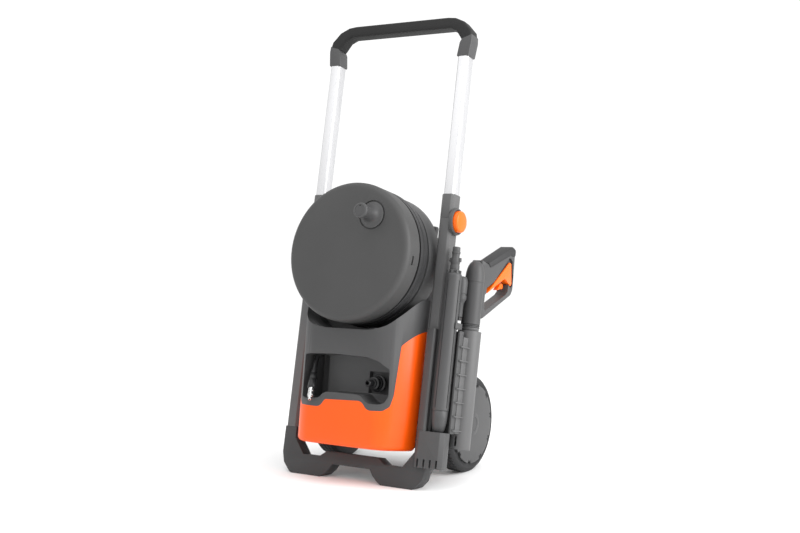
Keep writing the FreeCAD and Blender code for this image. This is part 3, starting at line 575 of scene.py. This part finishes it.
def make_tyre(side, place):
    """A solid tyre whose tread blocks are sunk face by face."""
    tyre = turned(side + "_tyre_tread", ring_profile(
        [(72, 4), (88, 0.5), (94, 1.5), (98.4, 6), (98.4, 14.5), (98.4, 23), (98.4, 31.5),
         (98.4, 39), (95, 42.6), (91, 43.6), (89, 42.6), (72, 41)]), 60)
    edit(tyre)
    ops.mesh.select_mode(type="FACE")
    ops.mesh.select_all(action="DESELECT")
    done()
    for face in tyre.data.polygons:
        centre = face.center
        face.select = math.hypot(centre.x, centre.y) > 97.5 and 6 < centre.z < 39
    edit(tyre)
    ops.mesh.inset(thickness=1.1, depth=1.5, use_individual=True)
    ops.mesh.select_mode(type="VERT")
    done()
    deliver(tyre, place, side + "_wheel", TYRE, "tyre_rubber", side + "_tyre")


CROWN = [(0, 82), (13, 82.5), (15.5, 75), (18, 79), (20.5, 75), (23, 82.5)]


def make_hub_cap(side, sign):
    """A flat cap with a crown's notches round its edge, and a low boss at its centre."""
    outline = []
    for tooth in range(10):
        for turn, reach in CROWN:
            angle = math.radians(36 * tooth + turn + 5)
            outline.append((reach * math.cos(angle), reach * math.sin(angle)))
    cap = slab(side + "_crown_cap", "XY", outline, 0, 5)
    round_edges(cap, 0.8, 2, 60)
    boss = turned("boss", [(0, 4), (24, 4), (24, 5.4), (22.6, 6.2), (15, 6.6), (14, 5.8),
                           (0, 5.8)], 48)
    only(cap)
    boss.select_set(True)
    ops.object.join()
    place = LEVEL @ Matrix.Translation((sign * (WHEEL_INNER + HUB_CAP_OUT), AXLE_Y, WHEEL_RADIUS))
    deliver(cap, place @ SIDEWAYS[sign], side + "_wheel", GREY, "dark_grey_plastic",
            side + "_hub_cap")


# ------------------------------------------------------------------ lance and spare nozzle

LANCE_PLACE = LEAN @ Matrix.Translation((LANCE_X, LANCE_Y, LANCE_FOOT))


def make_lance():
    """The fluted grip tube of the lance and the nozzle at its foot."""
    tube = turned("lance_grip_tube", [
        (0, 42), (15.6, 42), (16.5, 43.2), (16.5, 308), (16, 311), (14.6, 313.5), (0, 313.5)])
    for turn in (-12, 75, 200):
        flute = slab("flute", "XY", [(-1.1, -18), (1.1, -18), (0.7, -15.2), (-0.7, -15.2)],
                     48, 300)
        bore(tube, put(flute, Matrix.Rotation(math.radians(turn), 4, "Z")))
    deliver(tube, LANCE_PLACE, "lance", GREY, "dark_grey_plastic", "lance_tube")
    nozzle = turned("lance_nozzle_end", [
        (0, 0), (8.6, 0), (9.8, 1.2), (12, 4), (14.4, 16), (15.6, 27), (15.8, 40.6),
        (15, 41.8), (0, 41.8)])
    deliver(nozzle, LANCE_PLACE, "lance", GREY, "dark_grey_plastic", "lance_nozzle")


def make_spigot():
    """The neck of the lance: a castellated ring, a bayonet lug and a sealed spigot."""
    neck = turned("lance_spigot_neck", [
        (0, 0), (12.5, 0), (12.5, 2.2), (10.8, 3), (10.8, 4.2), (12.5, 5), (12.5, 7), (9.5, 8),
        (9.5, 16), (8.9, 17), (8.9, 20), (9.5, 21), (9.5, 30), (7.6, 33), (7.6, 40),
        (8.6, 41), (8.6, 44), (7.6, 45), (7.6, 53), (6.9, 54), (4.5, 54), (4.5, 44), (0, 44)],
        48)
    lug = slab("lug", "XY", [(-12.5, -3), (12.5, -3), (12.5, 3), (-12.5, 3)], 24, 32)
    round_edges(lug, 0.8, 2)
    for index in range(8):
        tooth = slab("tooth", "XY", [(11.8, -2.2), (14.4, -1.8), (14.4, 1.8), (11.8, 2.2)],
                     0.6, 6.6)
        put(tooth, Matrix.Rotation(math.radians(45 * index + 10), 4, "Z"))
        only(neck)
        tooth.select_set(True)
        ops.object.join()
    only(neck)
    lug.select_set(True)
    ops.object.join()
    place = LEAN @ Matrix.Translation((LANCE_X, LANCE_Y, LANCE_NECK))
    deliver(neck, place, "lance", GREY, "dark_grey_plastic", "lance_spigot")


def make_spray_nozzle():
    """The spare nozzle, hollow over the clip's peg."""
    nozzle = turned("spare_nozzle_body", ring_profile([
        (4.2, 0), (7.4, 0), (8.2, 1), (8.5, 6), (8.5, 27), (10, 31), (12.4, 35), (13, 37),
        (13, 44), (12.2, 45), (12.2, 47), (13, 48), (13, 72), (12, 76), (10, 81), (8.6, 82),
        (3, 82), (3, 78), (0.01, 78), (0.01, 30), (4.2, 30)]), 48)
    place = LEAN @ Matrix.Translation(SPARE_NOZZLE_PLACE)
    deliver(nozzle, place, "spare_nozzle", GREY, "dark_grey_plastic", "spray_nozzle")


# ------------------------------------------------------------------ gun

GUN_PLACE = LEAN @ Matrix.Translation((GUN_X, GUN_Y, 0))


GRIP_OUTER = [(70, 352), (82, 349), (205, 416), (212, 429), (209, 505), (203, 513),
              (189, 517), (84, 464), (60, 468), (56, 400)]
FINGER_GAP = [(83, 386), (83, 373), (90, 367), (178, 413), (187, 422), (188, 440),
              (176, 447), (164.1, 446), (94.8, 406), (83, 400)]
TRIGGER_SWEEP = [(89, 402), (83.3, 397), (167.9, 445.5), (171.8, 443), (200.6, 431),
                 (207.4, 438), (206.4, 452), (197.7, 488), (189.1, 493), (180.4, 492)]
TRIGGER_UNDER = [(88.1, 400), (167.9, 445.5), (171.8, 443), (200.6, 431), (207.4, 438),
                 (208.3, 461), (171.8, 461), (88.1, 414)]
CATCH_PIVOT = (171.8, 430)
PAD_OUTLINE = [(84, 465.5), (96, 457), (186, 499), (206, 499), (208, 508), (206, 515),
               (189, 519)]


def make_gun_body():
    """A smooth domed head, and the rounded loop the trigger moves in."""
    loop = slab("gun_hand_loop", "YZ", GRIP_OUTER, -12.8, 12.8)
    round_chosen(loop, 4, 4, lambda a, b: abs(a.x - b.x) > 20)
    round_edges(loop, 4, 4, 50)
    gap = slab("gap", "YZ", FINGER_GAP, -20, 20)
    round_chosen(gap, 2, 3, lambda a, b: abs(a.x - b.x) > 20)
    bore(loop, gap)
    for low, high in ((-16, -8), (8, 16)):
        bore(loop, slab("cheek", "YZ", TRIGGER_SWEEP, low, high))
    bore(loop, slab("under", "YZ", TRIGGER_UNDER, -16, 16))
    catch_room = turned("catch_room", [(0, -5.5), (7, -5.5), (7, 5.5), (0, 5.5)], 32)
    bore(loop, put(catch_room, Matrix.Translation((0, *CATCH_PIVOT)) @ SIDEWAYS[1]))
    head = turned("head", [
        (0, 333.4), (18.4, 333.4), (19.4, 334.4), (19.5, 340), (19.5, 418.8), (19, 419.4),
        (19, 420.2), (19.5, 420.8), (19.4, 432), (18.4, 442), (16.2, 451), (12.6, 458.4),
        (7.4, 463.4), (0, 465.2)], 72)
    bore(loop, put(head, Matrix.Translation((0, GUN_Y - GUN_LOOP_SHIFT, 0))), "UNION")
    place = LEAN @ Matrix.Translation((GUN_X, GUN_LOOP_SHIFT, 0))
    deliver(loop, place, "gun", GREY, "dark_grey_plastic", "gun_body")
    pad = slab("gun_pad_cover", "YZ", PAD_OUTLINE, -14.4, 14.4)
    round_chosen(pad, 3.5, 4, lambda a, b: abs(a.x - b.x) > 20)
    round_edges(pad, 4, 4, 50)
    deliver(pad, place, "gun", SOFT, "soft_grip", "gun_grip_pad")


def make_gun_barrel():
    """The barrel that stands in the holster, and the collar above it."""
    barrel = turned("gun_barrel_tube", [
        (0, 100), (13.6, 100), (15.6, 102), (16.6, 106), (16.6, 318), (18, 322), (18.4, 323),
        (18.4, 326.9), (0, 326.9)])
    deliver(barrel, GUN_PLACE, "gun", LIGHT_GREY, "dark_grey_plastic", "gun_barrel")
    collar = turned("gun_collar_rings", [
        (0, 327.2), (18.4, 327.2), (19.4, 328), (19.4, 329.4), (18.2, 330), (18.2, 330.8),
        (19.4, 331.4), (19.4, 332.6), (18.4, 333), (0, 333)])
    deliver(collar, GUN_PLACE, "gun", GREY, "dark_grey_plastic", "gun_collar")


# ------------------------------------------------------------------ hose end and inlet

def make_hose_end():
    """The plated connector and the black bend sleeve over the hose behind it."""
    end, before = Vector(HOSE_ROUTE[-1]), Vector(HOSE_ROUTE[-2])
    turn = (end - before).to_track_quat("Z", "Y").to_matrix().to_4x4()
    place = COVER @ Matrix.Translation(end) @ turn
    ferrule = turned("hose_ferrule", [
        (0, 0), (6, 0), (6, 7.4), (5.2, 8.4), (5.2, 11), (6, 12), (6, 16.6), (5, 17.8),
        (5, 20), (3.6, 21), (3.6, 26), (2.8, 27), (1.6, 27), (1.6, 18), (0, 18)], 40)
    deliver(ferrule, place, "chassis", CHROME, "bright_metal", "hose_connector")
    sleeve = turned("hose_bend_sleeve", ring_profile([
        (5.05, -1), (7.4, -1), (8.4, -3), (8.4, -20), (7.8, -21), (7.8, -23), (8.2, -24),
        (7.6, -34), (7, -35), (7, -37), (7.3, -38), (6.4, -46), (5.05, -46)]), 40)
    deliver(sleeve, place, "chassis", BLACK, "hose_rubber")
    finish_with(hose, BLACK)
    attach(hose, "chassis")
    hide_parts("hose_tail")


# ------------------------------------------------------------------ all pieces

make_covers()
make_reel_cap()
make_reel_drum()
make_wound_hose()
make_crank()
make_grip_bar()
for side_name, side_sign in SIDES.items():
    make_lock(side_name, side_sign)
    wheel_place = (LEVEL @ Matrix.Translation((side_sign * WHEEL_INNER, AXLE_Y, WHEEL_RADIUS))
                   @ SIDEWAYS[side_sign])
    make_tyre(side_name, wheel_place)
    make_hub_cap(side_name, side_sign)
make_lance()
make_spigot()
make_spray_nozzle()
make_gun_barrel()
make_gun_body()
make_hose_end()
for node_name, width in {
        "rear_cover": 0.003, "left_grip_leg": 0.002,
        "right_grip_leg": 0.002, "lance_holder": 0.0026,
        "left_handle_tube": 0.0012, "right_handle_tube": 0.0012,
        "reel_bracket": 0.003, "tool_clip": 0.0006,
        "base_deck": 0.0012, "power_switch": 0.001, "cable_gland": 0.0006,
        "inlet_collar": 0.0006, "inlet_connector": 0.0005, "left_rim": 0.001,
        "right_rim": 0.001}.items():
    softened(node_name, width, 3)
softened("foot_frame", 0.004, 3, 32, FRAME_GREY)
for node_name in ("left_post", "right_post", "left_post_sleeve", "right_post_sleeve"):
    softened(node_name, 0.0025, 4, 32, LIGHT_GREY)
softened("gun_holster", 0.0012, 3, 32, LIGHT_GREY)
softened("trigger", 0.0012, 3, 32, BRIGHT_ORANGE)
softened("trigger_catch", 0.0008, 3, 32, BRIGHT_ORANGE)


# ------------------------------------------------------------------ floor and light

def make_floor():
    """A plain pale floor that reaches past the view."""
    ops.object.select_all(action="DESELECT")
    ops.mesh.primitive_plane_add(size=60, location=(0, 20, 0))
    floor = bpy.context.object
    floor.name = "studio_floor"
    ops.object.transform_apply(location=True, rotation=True, scale=True)
    material, tree, shader, place = node_tree("studio_floor_white")
    colour = tint(tree, noise(tree, place, 3, 2), (0.94, 0.94, 0.94), (0.955, 0.955, 0.955))
    tree.links.new(colour, shader.inputs["Base Color"])
    shader.inputs["Roughness"].default_value = 0.9
    shader.inputs["Specular IOR Level"].default_value = 0.1
    finish_with(floor, material)


def area_light(name, azimuth, elevation, distance, extent, power, target=(0, 0, 0.45)):
    """A softbox aimed at the machine from an azimuth (0 is the front) and an elevation."""
    data = bpy.data.lights.new(name, "AREA")
    data.shape = "RECTANGLE"
    data.size = extent[0]
    data.size_y = extent[1]
    data.energy = power
    lamp = bpy.data.objects.new(name, data)
    scene.collection.objects.link(lamp)
    turn, rise = math.radians(azimuth), math.radians(elevation)
    offset = Vector((math.sin(turn) * math.cos(rise), -math.cos(turn) * math.cos(rise),
                     math.sin(rise)))
    lamp.location = Vector(target) + offset * distance
    lamp.rotation_euler = (-offset).to_track_quat("-Z", "Y").to_euler()


def light_studio():
    """A white surround, a softbox at the right and weaker ones in front and above."""
    world = bpy.data.worlds.new("studio")
    scene.world = world
    world.use_nodes = True
    backdrop = world.node_tree.nodes["Background"]
    backdrop.inputs["Color"].default_value = (1, 1, 1, 1)
    backdrop.inputs["Strength"].default_value = 1.08
    area_light("key_softbox", 95, 20, 2.4, (1.4, 2.0), 58)
    area_light("front_softbox", -25, 40, 3.2, (2.0, 1.4), 10)
    area_light("top_softbox", 20, 75, 2.8, (2.4, 2.4), 20)
    scene.view_settings.view_transform = "Standard"


make_floor()
light_studio()
